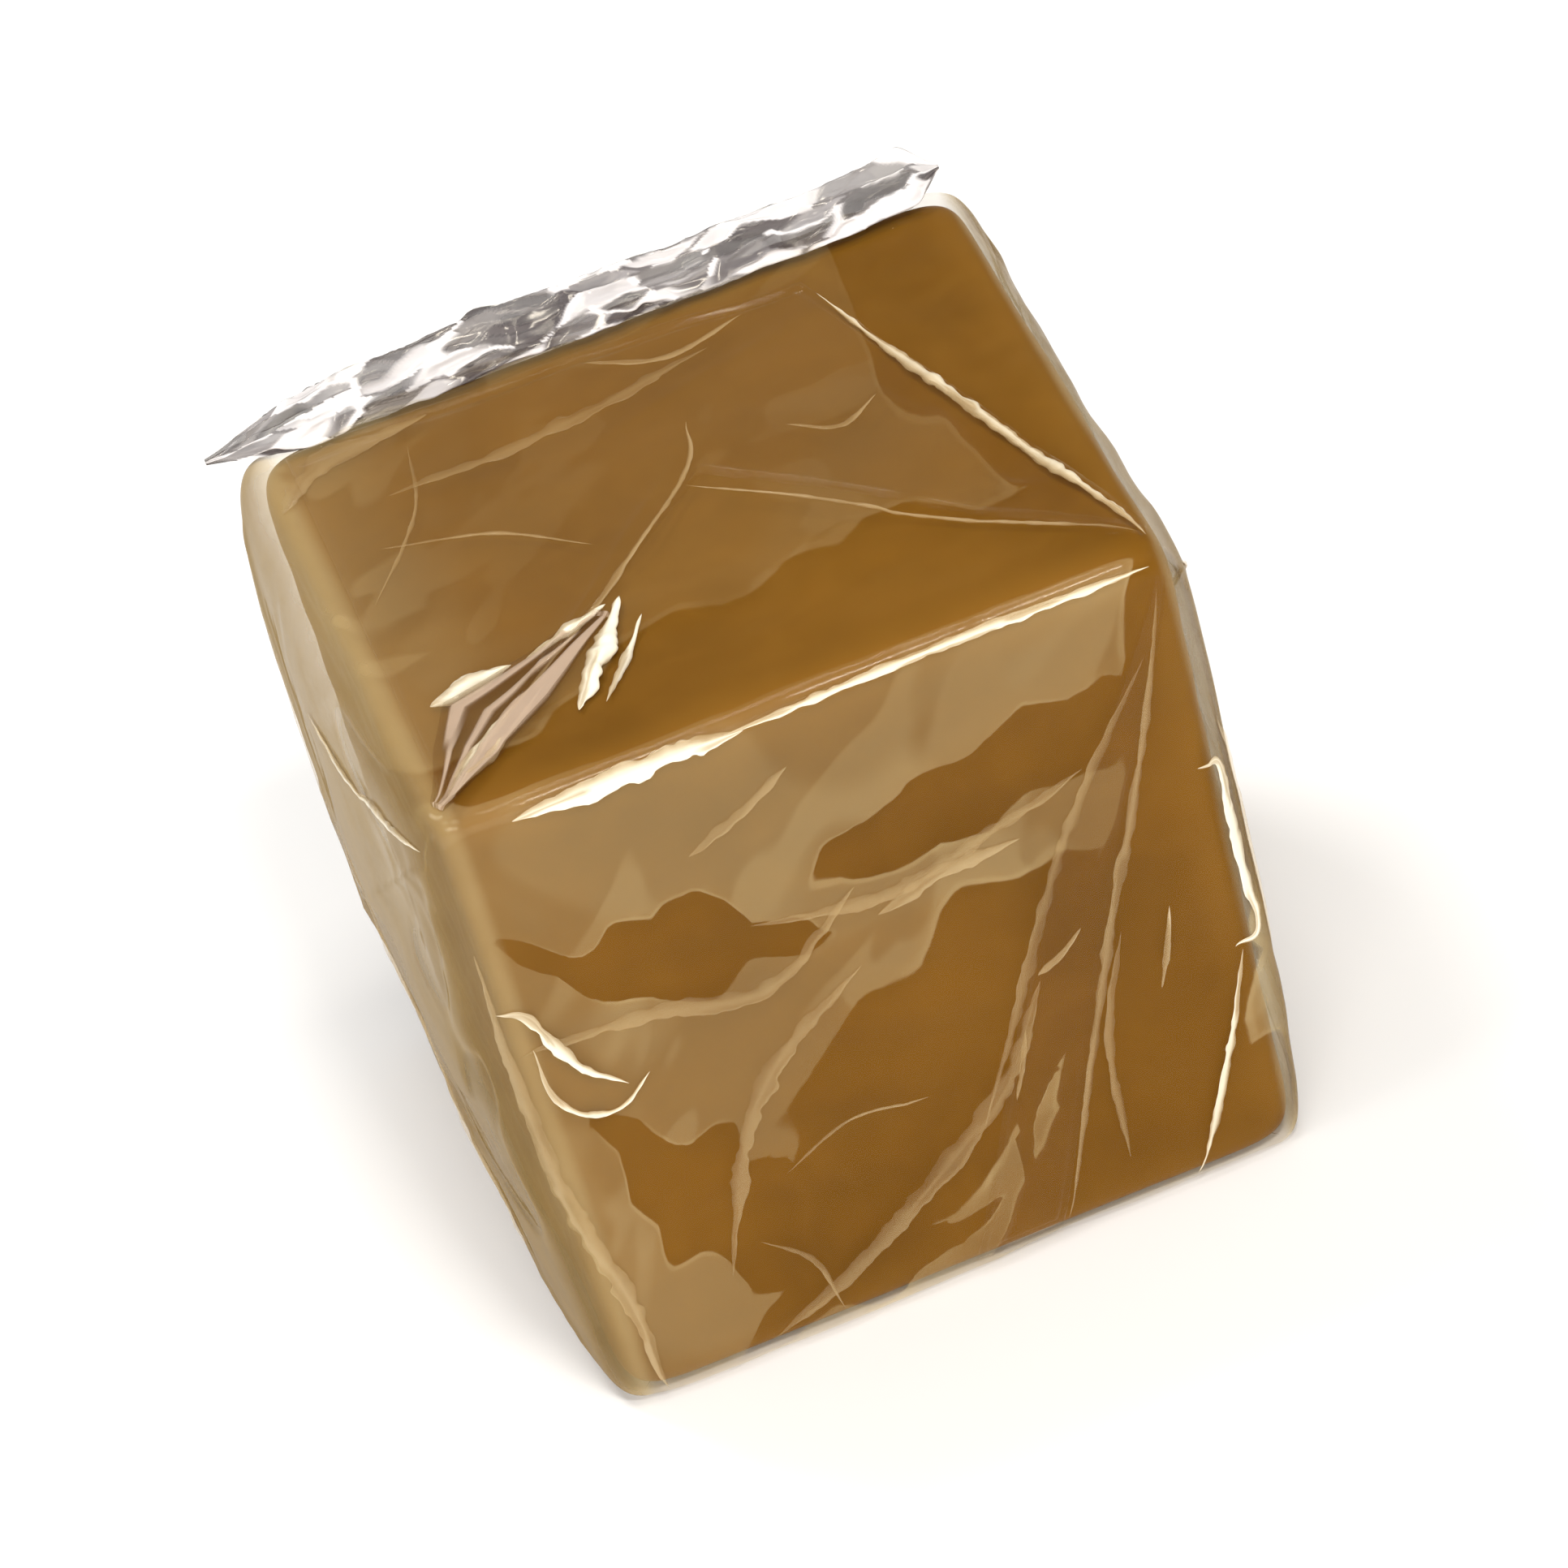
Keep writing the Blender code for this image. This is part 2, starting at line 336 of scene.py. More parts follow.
def crowded(share, much=0.75):
    """A parameter from -1 to 1 with its steps crowded towards both ends, by a sine."""
    return np.sin(share * np.pi / 2) * much + share * (1 - much)


# Large odd numbers that scatter a cell's three whole numbers, its seed and their mix.
CELL_SCATTER = np.array([73856093, 19349663, 83492791])
SEED_SCATTER, MIX_SCATTER = 2654435761, 1274126177


def lattice(cells, seed):
    """A random number from -1 to 1 for each whole-number cell, the same each run."""
    mixed = cells.astype(np.int64) * CELL_SCATTER
    mixed = (mixed[..., 0] ^ mixed[..., 1] ^ mixed[..., 2]) + seed * SEED_SCATTER
    mixed = (mixed ^ (mixed >> 13)) * MIX_SCATTER
    mixed = (mixed ^ (mixed >> 16)) & 0xFFFFFF
    return mixed / float(0x7FFFFF) - 1.0


def soft_noise(points, scale, seed=0):
    """Smooth noise from -1 to 1: random corner values of a grid of that cell size, eased between."""
    grid = points / scale
    cell = np.floor(grid)
    part = grid - cell
    ease = part * part * part * (part * (part * 6 - 15) + 10)
    total = np.zeros(points.shape[:-1])
    for corner in np.ndindex(2, 2, 2):
        step = np.array(corner)
        weight = np.prod(np.where(step == 1, ease, 1 - ease), axis=-1)
        total += weight * lattice(cell + step, seed)
    return total


def creased_noise(points, scale, seed=0, folds=5):
    """Crumpled sheet from -1 to 1: the mean of zigzags along random directions, each bent a little.

    A zigzag is flat between sharp turns, so their sum is a field of flat facets.
    """
    draw = np.random.default_rng(seed)
    total = np.zeros(points.shape[:-1])
    bend = np.stack([soft_noise(points, scale * 1.7, seed + k) for k in range(3)], axis=-1)
    bent = points / scale + bend * 0.55
    for _ in range(folds):
        way = draw.normal(size=3)
        way /= np.linalg.norm(way)
        phase = (bent @ way) * draw.uniform(0.6, 1.5) + draw.uniform()
        total += np.abs((phase % 1.0) * 2 - 1) * 2 - 1
    return total / folds


def rounded_cube(points, squareness):
    """Points of a cube of half side 1 drawn in to a superellipsoid of that exponent."""
    power = np.abs(points) ** squareness
    return points / (power.sum(axis=-1, keepdims=True) ** (1.0 / squareness))


def cube_grid(cells):
    """(points, quads) of a cube of half side 1, each face a grid, its edges welded.

    Each face is two parameters from -1 to 1 and a fixed third; equal points are made one.
    """
    step = crowded(np.linspace(-1.0, 1.0, cells + 1))
    first, second = (part.ravel() for part in np.meshgrid(step, step, indexing="ij"))
    ones = np.ones_like(first)
    faces = (
        (ones, first, second),
        (-ones, second, first),
        (second, ones, first),
        (first, -ones, second),
        (first, second, ones),
        (second, first, -ones),
    )
    points = np.concatenate([np.stack(face, axis=1) for face in faces])
    count = cells + 1
    corner = (np.arange(cells)[:, None] * count + np.arange(cells)).ravel()
    quads = np.stack([corner, corner + count, corner + count + 1, corner + 1], axis=1)
    quads = np.concatenate([quads + face * count * count for face in range(6)])
    keys = np.round(points * 1e6).astype(np.int64)
    _, kept, index = np.unique(keys, axis=0, return_index=True, return_inverse=True)
    return points[kept], index.reshape(-1)[quads]


# Each face of the cube: the axis across it, and its place on that axis. Its chart runs along the other
# two axes, both from -1 to 1.
LEFT, RIGHT, FRONT, BACK, FOOT, TOP = ((axis, side) for axis in range(3) for side in (-1.0, 1.0))


def face_points(face, chart):
    """Cube points on a face from points of its chart."""
    axis, side = face
    return np.insert(chart, axis, side, axis=-1)


def build_mesh(name, points, quads, finish):
    """A smooth-shaded mesh object at the origin with those points, in metres, and quads."""
    mesh = bpy.data.meshes.new(name)
    mesh.vertices.add(len(points))
    mesh.vertices.foreach_set("co", np.ascontiguousarray(points, np.float32).ravel())
    mesh.loops.add(quads.size)
    mesh.loops.foreach_set("vertex_index", np.ascontiguousarray(quads, np.int32).ravel())
    mesh.polygons.add(len(quads))
    mesh.polygons.foreach_set("loop_start", np.arange(0, quads.size, quads.shape[1], dtype=np.int32))
    mesh.update(calc_edges=True)
    mesh.validate()
    mesh.polygons.foreach_set("use_smooth", np.ones(len(mesh.polygons), bool))
    made = bpy.data.objects.new(name, mesh)
    bpy.context.scene.collection.objects.link(made)
    mesh.materials.append(finish)
    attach(made, "root")
    return made


def store_share(made, name, shares):
    """Keeps one number for each point, for the material."""
    field = made.data.attributes.new(name, "FLOAT", "POINT")
    field.data.foreach_set("value", np.ascontiguousarray(shares, np.float32))


def block_middle():
    """Middle of the block, in metres. Real film is thinner than the frame's, so it sits lower."""
    settle = np.array([0.0, 0.0, bpy.context.scene.caramel_block.settle])
    return (BLOCK_LOW + BLOCK_HIGH - settle) / 2


def block_half():
    """Half sides of the block before its faces sink, in metres."""
    block = bpy.context.scene.caramel_block
    return (BLOCK_HIGH - BLOCK_LOW + np.array([0.0, 0.0, block.settle])) / 2 + block.sink


def uneven(shares):
    """How far the cut block departs from a true one: its right side and its front slope in towards the
    foot, and it leans back slightly."""
    block = bpy.context.scene.caramel_block
    x, y, z = np.moveaxis(shares, -1, 0)
    foot = (1.0 - z) / 2
    shift = np.zeros_like(shares)
    shift[..., 0] = -block.right_undercut * foot * (x + 1) / 2
    shift[..., 1] = block.front_undercut * foot * (1 - y) / 2 + block.lean_back * z
    return shift


def block_surface(cube):
    """The block: a superellipsoid on the uneven body, each face sunk by the product of its two
    flatness terms, with cosine drag marks on the sides and soft dents."""
    block = bpy.context.scene.caramel_block
    shares = rounded_cube(cube, block.squareness)
    x, y, z = np.moveaxis(shares, -1, 0)
    places = shares * block_half() + uneven(shares)
    flat = (1 - np.abs(shares) ** 4).clip(0.0, 1.0)
    wander = soft_noise(places, 6 * MM, 3)
    drag = block.drag * (1 + np.cos(9 * np.pi * (z + 0.22 * x + 0.10 * wander)))
    drag = drag * smooth_step(soft_noise(places, 5 * MM, 8), -0.5, 0.6)
    dent = 0.16 * MM * soft_noise(places, 4.5 * MM, 5) + 0.05 * MM * soft_noise(places, 1.6 * MM, 6)
    side = np.sign(shares) * np.abs(shares) ** 8
    places[..., 0] -= side[..., 0] * flat[..., 1] * flat[..., 2] * (block.sink + drag + dent)
    places[..., 1] -= side[..., 1] * flat[..., 0] * flat[..., 2] * (block.sink + drag + dent)
    places[..., 2] -= side[..., 2] * flat[..., 0] * flat[..., 1] * (block.sink + dent)
    places = places + block_middle()
    places[..., 2] = np.maximum(places[..., 2], BLOCK_FOOT)
    return places


def crease(u, v, start, end, height, width):
    """A sharp raised line from start to end: an exponential of the distance, fading at both ends.

    u and v are points of a flat chart, and all is in metres. The line is half as strong at its end.
    """
    way = end - start
    run = np.linalg.norm(way)
    way = way / run
    du, dv = u - start[0], v - start[1]
    along = du * way[0] + dv * way[1]
    side = way[0] * dv - way[1] * du
    beyond = np.maximum(np.maximum(-along, along - run), 0.0)
    share = np.clip(along / run, 0.0, 1.0)
    ends = smooth_step(share, -0.02, 0.08) * (1 - smooth_step(share, 0.75, 1.02))
    return height * np.exp(-np.hypot(side, beyond) / width) * ends * (1 - 0.5 * share)


def on_face(share):
    """1 for points on the face at the end of an axis, where their share along it is nearly 1."""
    return smooth_step(share, 0.93, 0.99)


def towards(share):
    """As on_face, but eased over more of the rounded edge."""
    return smooth_step(share, 0.90, 1.0)


def film_half():
    """Half sides of the film's body, in metres."""
    return block_half() + bpy.context.scene.caramel_film.clearance


def film_normal(shares):
    """Outward direction of the film's body: the gradient of its superellipsoid."""
    power = bpy.context.scene.caramel_film.squareness - 1
    slope = np.sign(shares) * np.abs(shares) ** power / film_half()
    return slope / np.linalg.norm(slope, axis=-1, keepdims=True)


# The creases of the film: from, to (both as shares of the half sides), height and width in millimetres.
# Each starts where the film is pulled tightest. The last list is for the left, the right and the back.
TOP_CREASES = (
    ((0.97, -0.95), (0.02, 0.03), 0.10, 0.16),
    ((-0.97, -0.97), (0.06, 0.22), 0.12, 0.14),
    ((0.55, 0.62), (-0.30, 0.30), 0.05, 0.20),
    ((-0.85, 0.80), (-0.15, 0.05), 0.05, 0.25),
)
FRONT_CREASES = (
    ((0.93, 0.62), (0.945, 0.05), 0.15, 0.12),
    ((0.93, 0.00), (0.82, -0.82), 0.10, 0.10),
    ((-0.92, 0.40), (-0.10, 0.18), 0.08, 0.35),
    ((-0.25, -0.85), (0.18, 0.22), 0.10, 0.30),
    ((0.25, 0.55), (-0.45, 0.62), 0.06, 0.30),
    ((-0.70, -0.55), (-0.20, -0.92), 0.07, 0.30),
)
SIDE_CREASES = (
    ((-0.9, 0.85), (0.1, 0.1), 0.14, 0.20),
    ((0.85, 0.9), (0.0, 0.05), 0.12, 0.20),
    ((-0.85, -0.9), (0.3, -0.2), 0.10, 0.22),
    ((0.9, -0.8), (0.2, 0.3), 0.08, 0.22),
)

# Where the film clings to the block, as pointed patches on a face: middle, half length and half width,
# and turn in degrees. The first list is for the front, across and up, and the second for the top,
# across and back.
FRONT_CLINGS = (
    ((0.36, 0.52), (0.52, 0.17), 6.0),
    ((-0.50, 0.42), (0.44, 0.14), -15.0),
    ((0.02, -0.30), (0.74, 0.34), 42.0),
    ((-0.64, -0.42), (0.52, 0.15), -60.0),
    ((0.78, -0.12), (1.25, 0.27), 78.0),
    ((0.60, -0.84), (0.62, 0.26), 12.0),
    ((0.40, -0.34), (0.55, 0.05), 68.0),
    ((-0.30, -0.86), (0.42, 0.08), 14.0),
)
TOP_CLINGS = (
    ((0.10, -0.80), (1.15, 0.34), 2.0),
    ((0.90, 0.10), (1.25, 0.30), 100.0),
)


def pointed(u, v, middle, half, turn):
    """Measure of chart points from a patch between two parabolas that meet at its tips, 1 at its rim."""
    turn = math.radians(turn)
    along = (u - middle[0]) * math.cos(turn) + (v - middle[1]) * math.sin(turn)
    across = (v - middle[1]) * math.cos(turn) - (u - middle[0]) * math.sin(turn)
    return np.abs(across) / half[1] + (along / half[0]) ** 2


def air_under(shares):
    """Air under the film as a smooth field: under a half the film clings, above it air lies between.

    The front and the top have named patches, bent by soft noise and by zigzags. Elsewhere it is
    stretched noise.
    """
    places = shares * film_half()
    bend = np.stack([soft_noise(places, 3.4 * MM, seed) for seed in (61, 62, 63)], axis=-1)
    kink = np.stack([creased_noise(places, 2.4 * MM, seed, 2) for seed in (65, 66, 67)], axis=-1)
    bent = shares + 0.08 * bend + 0.055 * kink
    x, y, z = np.moveaxis(bent, -1, 0)
    ways = ((0.9, 0.2, 0.5), (-0.3, 0.9, 0.3), (-0.4, -0.4, 1.0))
    stretched = np.stack([places @ way for way in ways], axis=-1)
    patches = 0.5 + 0.6 * soft_noise(stretched + 2.2 * MM * bend, 4.6 * MM, 64)
    on_front = on_face(-shares[..., 1])
    on_top = on_face(shares[..., 2]) * (1 - on_front)
    front = np.min([pointed(x, z, *one) for one in FRONT_CLINGS], axis=0) - 0.5
    top = np.min([pointed(x, y, *one) for one in TOP_CLINGS], axis=0) - 0.5
    air = patches * (1 - on_front - on_top) + front * on_front + top * on_top
    standing = on_face(-shares[..., 0]) * (1 - on_front - on_top)
    return (air + 0.10 * standing).clip(0.0, 1.0)


def creases_on(shares, axes, lines):
    """The sum of several creases on a face that runs along those two axes."""
    half = film_half()[axes]
    u, v = shares[..., axes[0]] * half[0], shares[..., axes[1]] * half[1]
    total = 0.0
    for start, end, height, width in lines:
        ends = (np.array(point) * half for point in (start, end))
        total = total + crease(u, v, *ends, height * MM, width * MM)
    return total


def film_surface(cube, lift=0.0):
    """The film's body at those points of a cube, raised by lift along its outward direction.

    A squarer superellipsoid than the block's. Broad waves and small facets move it along its normal,
    creases run in from the corners, the left side stands off, and the foot is pressed flat.
    """
    film = bpy.context.scene.caramel_film
    half = film_half()
    shares = rounded_cube(cube, film.squareness)
    x, y, z = np.moveaxis(shares, -1, 0)
    outward = film_normal(shares)
    places = shares * half + uneven(shares)
    left, right = towards(-x), towards(x)
    wave = soft_noise(places, 5.5 * MM, 21) + 0.45 * soft_noise(places, 2.6 * MM, 22)
    broad = creased_noise(places, 5.0 * MM, 31)
    crumpled = smooth_step(soft_noise(places, 4 * MM, 35), -0.2, 0.6)
    small = creased_noise(places, 1.6 * MM, 33, 6) * crumpled
    height = film.wave * (wave + 0.4) * (1 - 0.5 * towards(-z)) + film.crinkle * (2.0 * broad + small)
    height = height + towards(z) * creases_on(shares, [0, 1], TOP_CREASES)
    height = height + towards(-y) * creases_on(shares, [0, 2], FRONT_CREASES)
    height = height + (left + right) * creases_on(shares, [1, 2], SIDE_CREASES)
    height = height + towards(y) * creases_on(shares * [-1, 1, 1], [0, 2], SIDE_CREASES)
    bulge = left * (1 - y * y * 0.5) * np.cos((z - 0.15) * np.pi / 2.6)
    height = height + film.left_loose * bulge + 0.2 * MM * right * (1 - z * z)
    height = height + 0.09 * MM * (smooth_step(air_under(shares), 0.42, 0.58) - 1)
    places = places + outward * (height + lift)[..., None] + block_middle()
    places[..., 2] = np.maximum(places[..., 2], FILM_FOOT)
    return places


def border_of(rows, columns):
    """True for the points on the border of a grid, row by row."""
    border = np.ones((rows, columns), bool)
    border[1:-1, 1:-1] = False
    return border.ravel()


def sheet_shell(top_points, outward, thickness, bead):
    """(points, quads) of a thin closed sheet from a grid of points with their outward directions.

    The wall is thickness thick, and swells to a round bead at the sheet's border, where it is folded:
    both faces keep the grid, offset by half the wall, and share the border's points.
    """
    rows, columns = top_points.shape[:2]
    across = np.minimum(*np.meshgrid(edge_gap(top_points, 1), edge_gap(top_points, 0)))
    half_wall = thickness / 2 + bead * np.exp(-(((across - bead) / bead) ** 2))
    rounding = np.sqrt(1 - (1 - np.clip(across / bead, 0.0, 1.0)) ** 2)
    half_wall = (half_wall * rounding)[..., None]
    upper = (top_points + outward * half_wall).reshape(-1, 3)
    lower = (top_points - outward * half_wall).reshape(-1, 3)
    index = np.arange(rows * columns)
    inner = ~border_of(rows, columns)
    lower_index = index.copy()
    lower_index[inner] = rows * columns + np.arange(inner.sum())
    corner = (np.arange(rows - 1)[:, None] * columns + np.arange(columns - 1)).ravel()
    quads = np.stack([corner, corner + 1, corner + columns + 1, corner + columns], axis=1)
    return (
        np.concatenate([upper, lower[inner]]),
        np.concatenate([quads, lower_index[quads[:, ::-1]]]),
    )


def edge_gap(points, axis):
    """Distance in metres from each line of the grid to the nearer of its two ends, along the middle."""
    middle = np.take(points, points.shape[1 - axis] // 2, axis=1 - axis)
    run = np.concatenate([[0.0], np.cumsum(np.linalg.norm(np.diff(middle, axis=0), axis=1))])
    return np.minimum(run, run[-1] - run)


def along_line(corners, shares):
    """Points at those shares, 0 to 1, of the length of the line through those corners."""
    corners = np.array(corners, float)
    run = np.concatenate([[0.0], np.cumsum(np.linalg.norm(np.diff(corners, axis=0), axis=1))])
    run /= run[-1]
    return np.stack([np.interp(shares, run, corners[:, k]) for k in range(corners.shape[1])], axis=-1)


def ruled_sheet(face, lower, upper, rows, columns, lift, thickness, bead, bump=None):
    """A thin closed sheet that lies on the film between two lines drawn on a face of the cube.

    Each row is a share of the way along both lines, and each column a share of the way across from the
    lower line to the upper one. The rest is as in sheet_shell, and bump adds to the lift.
    """
    along = (crowded(np.linspace(-1, 1, rows), 0.9) + 1) / 2
    across = (crowded(np.linspace(-1, 1, columns), 0.9) + 1) / 2
    first, second = along_line(lower, along), along_line(upper, along)
    chart = first[:, None] * (1 - across[None, :, None]) + second[:, None] * across[None, :, None]
    cube = face_points(face, chart)
    raised = np.full(cube.shape[:2], lift)
    if bump is not None:
        raised = raised + bump(chart, along[:, None], across[None, :])
    points = film_surface(cube, raised)
    across_way = np.gradient(points, axis=1)
    along_way = np.gradient(points, axis=0)
    outward = np.cross(along_way, across_way)
    outward /= np.maximum(np.linalg.norm(outward, axis=-1, keepdims=True), 1e-12)
    facing = (outward * film_normal(rounded_cube(cube, 12.0))).sum(axis=-1).mean()
    if facing < 0:
        points, outward = points[::-1], -outward[::-1]
    points_out, quads = sheet_shell(points, outward, thickness, bead)
    return points_out, quads[:, ::-1]


def loop_tube(rings):
    """(points, quads) of a closed tube from rings of points, its two ends shut by strips."""
    rows, columns = rings.shape[:2]
    row = np.arange(rows - 1)[:, None] * columns
    column = np.arange(columns)
    after = (column + 1) % columns
    sides = np.stack([row + column, row + after, row + columns + after, row + columns + column], axis=-1)
    pair = np.arange(columns // 2 - 1)
    strip = np.stack([pair, columns - 1 - pair, columns - 2 - pair, pair + 1], axis=1)
    far = strip[:, ::-1] + (rows - 1) * columns
    return rings.reshape(-1, 3), np.concatenate([sides.reshape(-1, 4), strip, far])


def facets(places, size, seed, lone):
    """(edge, tilt, tone, next_tone) of a crumpled sheet's flat facets, for flat places in metres.

    Each place belongs to the nearest of the jittered points of a slanted grid. edge is the second
    nearest distance less the nearest one, so 0 along a border. tilt is a slope drawn for each facet
    times the place's offset from its point. tone is a number from 0 to 1 drawn for the place's facet,
    which sets its painted reflection, lower on the whole at the left end, so that end is painted
    darker, and next_tone that of the facet across the nearest border. One large facet has its point at
    lone.
    """
    draw = np.random.default_rng(seed)
    low, high = places.min(axis=0) - size, places.max(axis=0) + size
    first, second = np.meshgrid(*(np.arange(low[k], high[k], size[k]) for k in range(2)))
    points = np.stack([first.ravel(), second.ravel()], axis=1)
    points += draw.uniform(-0.62, 0.62, points.shape) * size
    points = points[np.linalg.norm((points - lone) / size, axis=1) > 1.25]
    points = np.concatenate([points, [lone]])
    slopes = draw.uniform(-1, 1, points.shape)
    darker = np.interp(points[:, 0], (low[0], high[0]), (1.5, 0.85))
    tones = draw.uniform(0, 1, len(points)) ** darker
    apart = np.linalg.norm((places[:, None] - points[None]) / size, axis=2)
    order = np.argpartition(apart, 1, axis=1)[:, :2]
    pair = np.take_along_axis(apart, order, axis=1)
    nearest = order[np.arange(len(places)), pair.argmin(axis=1)]
    beside = order[np.arange(len(places)), pair.argmax(axis=1)]
    edge = np.abs(pair[:, 0] - pair[:, 1]) * min(size)
    tilt = ((places - points[nearest]) * slopes[nearest]).sum(axis=1)
    return edge, tilt, tones[nearest], tones[beside]


PLEAT_ROWS, PLEAT_AROUND = 360, 120
# The pleat's loop, from its foot on the top round to it again: back from the film's back edge and up
# from its top, in metres, and the share of the pleat's height added to the second. The heart is where
# the loop shrinks to.
PLEAT_LOOP = (
    (-1.25 * MM, 0.02 * MM, 0.0),
    (-0.75 * MM, 0.0, 0.50),
    (-0.05 * MM, 0.0, 1.0),
    (0.22 * MM, 0.0, 0.75),
    (0.22 * MM, -0.95 * MM, 0.0),
    (-0.15 * MM, -0.15 * MM, 0.0),
    (-1.25 * MM, 0.02 * MM, 0.0),
)
PLEAT_HEART = (-0.25 * MM, 0.15 * MM)
# How far the pleat reaches past the left side, and stops short of the right one.
PLEAT_PAST, PLEAT_SHORT = 0.85 * MM, 0.40 * MM
# The pleat's facets: length and width, their slant, the girth that they lie round, and the row and the
# place round the loop of one large facet.
FACET_SIZE = np.array([1.60, 0.46]) * MM
FACET_SLANT, PLEAT_GIRTH = 0.7, 6.4 * MM
LONE_ROW, LONE_ROUND = -36, 1.5 * MM


def pleat_form():
    """(rings, edge, tone, next_tone) of the crumpled pleat: a hollow fold along the top back edge.

    Its loop shrinks to a tip at each end. Flat facets with raised borders move it out from its heart.
    """
    half = film_half()
    middle = block_middle()
    back = middle[1] + half[1] + bpy.context.scene.caramel_block.lean_back
    top = middle[2] + half[2]
    rise = bpy.context.scene.caramel_film.pleat_height
    corners = [(back + out, top + up + share * rise) for out, up, share in PLEAT_LOOP]
    loop = along_line(corners, np.linspace(0, 1, PLEAT_AROUND, endpoint=False))
    heart = np.array([back, top]) + PLEAT_HEART
    share = np.linspace(-1, 1, PLEAT_ROWS)
    swell = smooth_step(share, -1.08, -0.70) * (1 - smooth_step(share, 0.90, 1.02))
    swell = np.maximum(swell, 0.03)
    reach = 2 * half[0] + PLEAT_PAST - PLEAT_SHORT
    x = middle[0] - half[0] - PLEAT_PAST + (share + 1) / 2 * reach
    rings = np.zeros((len(share), len(loop), 3))
    rings[..., 0] = x[:, None]
    rings[..., 1:] = heart + (loop - heart)[None] * swell[:, None, None]
    way = np.zeros_like(rings)
    way[..., 1:] = (loop - heart)[None]
    way /= np.linalg.norm(way, axis=-1, keepdims=True)
    around = np.linspace(0, 1, PLEAT_AROUND, endpoint=False) * PLEAT_GIRTH
    flat = np.stack(np.broadcast_arrays(x[:, None] - FACET_SLANT * around[None], around[None]), axis=-1)
    for amount, scale, seeds in ((0.30 * MM, 1.5 * MM, (56, 57)), (0.10 * MM, 0.5 * MM, (59, 60))):
        flat = flat + amount * np.stack([soft_noise(rings, scale, seed) for seed in seeds], axis=-1)
    lone = np.array([x[LONE_ROW] - FACET_SLANT * LONE_ROUND, LONE_ROUND])
    found = facets(flat.reshape(-1, 2), FACET_SIZE, 51, lone)
    edge, tilt, tone, next_tone = (part.reshape(rings.shape[:2]) for part in found)
    dent = -0.32 * np.minimum(edge, 0.40 * MM) + 0.30 * tilt * smooth_step(edge, 0.0, 0.25 * MM)
    above = smooth_step(rings[..., 2], top - 0.5 * MM, top + 0.3 * MM)
    rings = rings + way * (dent * (0.3 + 0.7 * above) * swell[:, None])[..., None]
    rings[..., 2] += 0.20 * MM * above * soft_noise(rings * [1, 0, 0], 3.2 * MM, 53)
    rings[..., 1] += 0.14 * MM * above * soft_noise(rings * [1, 0, 0], 2.1 * MM, 54)
    return rings, edge, tone, next_tone


def facet_painted_reflection(tone):
    """(pale, painted sheen) of facets of that tone, painted reflections: dark clear ones, mid grey ones
    and white ones.
    """
    middle = 0.20 + 0.12 * np.sin(71.0 * tone)
    white = 0.86 + 0.14 * np.sin(53.0 * tone)
    pale = middle * smooth_step(tone, 0.24, 0.28) + (white - middle) * smooth_step(tone, 0.50, 0.56)
    grey = 0.50 + 0.36 * smooth_step(np.sin(91.0 * tone), -0.2, 0.6)
    return np.stack([pale, grey + (1 - grey) * pale])


def crumpled_painted_reflection(edge, tone, next_tone):
    """(pale, painted sheen) of a crumpled sheet, each facet's shares eased into the next one's at a
    border.

    Some borders are painted white highlight lines and some painted dark lines of shade.
    """
    own = 0.5 + 0.5 * smooth_step(edge, 0.0, 0.12 * MM)
    pale, bunched_painted_sheen = facet_painted_reflection(tone) * own + facet_painted_reflection(next_tone) * (1 - own)
    line = 1 - smooth_step(edge, 0.04 * MM, 0.12 * MM)
    kind = np.sin(37.0 * (tone + next_tone))
    pale = pale + line * smooth_step(kind, 0.0, 0.4) * (1 - pale)
    pale = pale * (1 - 0.85 * line * smooth_step(-kind, 0.3, 0.6))
    return pale.ravel(), np.maximum(bunched_painted_sheen, pale).ravel()


# A wrinkle's tube: distance between its rings, fewest and most rings, and points round each.
WRINKLE_STEP = 0.10 * MM
WRINKLE_ROWS_LEAST, WRINKLE_ROWS_MOST = 24, 150
WRINKLE_AROUND = 20


def smooth_line(corners, shares):
    """Points of a Catmull-Rom curve through those corners, at shares from 0 to 1 of its parameter."""
    corners = np.array(corners, float)
    ends = 2 * corners[[0, -1]] - corners[[1, -2]]
    held = np.concatenate([ends[:1], corners, ends[1:]])
    run = np.clip(shares, 0.0, 1.0) * (len(corners) - 1)
    piece = np.minimum(run.astype(int), len(corners) - 2)
    part = (run - piece)[:, None]
    a, b, c, d = (held[piece + step] for step in range(4))
    square = a - 2.5 * b + 2 * c - d / 2
    cube = 1.5 * (b - c) + (d - a) / 2
    return b + (c - a) * part / 2 + square * part**2 + cube * part**3


def turned_out(points, quads):
    """The quads, turned round if the closed surface encloses a negative volume."""
    a, b, c, d = (points[quads[:, k]] for k in range(4))
    volume = (np.cross(b, c) * a).sum() + (np.cross(c, d) * a).sum()
    return quads[:, ::-1] if volume < 0 else quads


